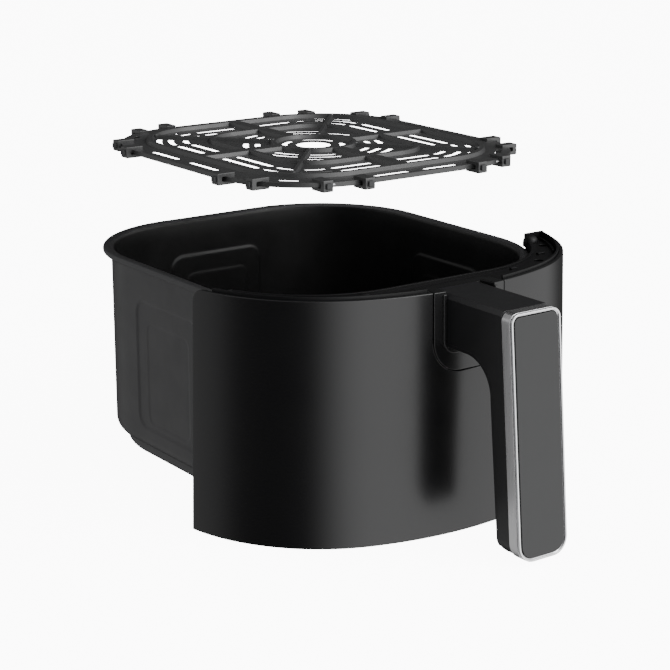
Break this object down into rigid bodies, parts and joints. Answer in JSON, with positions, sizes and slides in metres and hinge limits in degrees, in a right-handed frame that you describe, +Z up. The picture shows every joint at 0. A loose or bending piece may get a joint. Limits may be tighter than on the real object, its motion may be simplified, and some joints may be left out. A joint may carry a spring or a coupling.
{
  "type": "air fryer drawer",
  "caption": "Air fryer drawer: non-stick pot with a bowed front cover and an upright handle, and a slotted crisper plate that lifts out.",
  "frame": {"origin": "centre of the pot's flat bottom; the cover's bottom edge hangs 8 mm lower", "axes": "+Z up, -Y towards the handle, +X to the right as seen from the handle"},
  "size_m": [0.2712, 0.3525, 0.2104],
  "materials": {
    "pot_coating": "dark non-stick coating, satin, on pressed metal",
    "plate_coating": "dark grey non-stick coating, satin",
    "cover_plastic": "black, semi-gloss moulded plastic",
    "bracket_plastic": "black, fine satin moulded plastic",
    "handle_plastic": "black, satin moulded plastic",
    "satin_metal": "grey satin metal trim",
    "bright_metal": "bright bevelled edge",
    "grey_insert": "dark grey satin face plate",
    "silicone": "dark grey silicone",
    "steel": "zinc-plated steel"
  },
  "bodies": {
    "drawer": {"bracket_screw_1": "steel", "bracket_screw_2": "steel", "bracket_screw_3": "steel", "bracket_screw_4": "steel", "front_cover": "cover_plastic", "handle_back": "handle_plastic", "handle_body": "handle_plastic", "handle_insert": "grey_insert", "handle_ring": "bright_metal", "handle_screw_1": "steel", "handle_screw_2": "steel", "handle_socket": "bracket_plastic", "handle_trim": "satin_metal", "heat_shield": "bracket_plastic", "pot": "pot_coating", "shield_screw_1": "steel", "shield_screw_2": "steel", "shield_screw_3": "steel", "shield_screw_4": "steel", "top_bracket": "bracket_plastic"},
    "crisper": {"bumper_1": "silicone", "bumper_10": "silicone", "bumper_11": "silicone", "bumper_12": "silicone", "bumper_13": "silicone", "bumper_14": "silicone", "bumper_15": "silicone", "bumper_16": "silicone", "bumper_2": "silicone", "bumper_3": "silicone", "bumper_4": "silicone", "bumper_5": "silicone", "bumper_6": "silicone", "bumper_7": "silicone", "bumper_8": "silicone", "bumper_9": "silicone", "crisper_plate": "plate_coating", "rod_1": "steel", "rod_2": "steel", "rod_3": "steel", "rod_4": "steel", "rod_5": "steel", "rod_6": "steel", "rod_7": "steel", "rod_8": "steel"}
  },
  "joints": [
    {"name": "plate_lift", "type": "slide", "parent": "drawer", "child": "crisper", "axis": [0, 0, 1], "range_m": [-0.178, 0.04]}
  ]
}
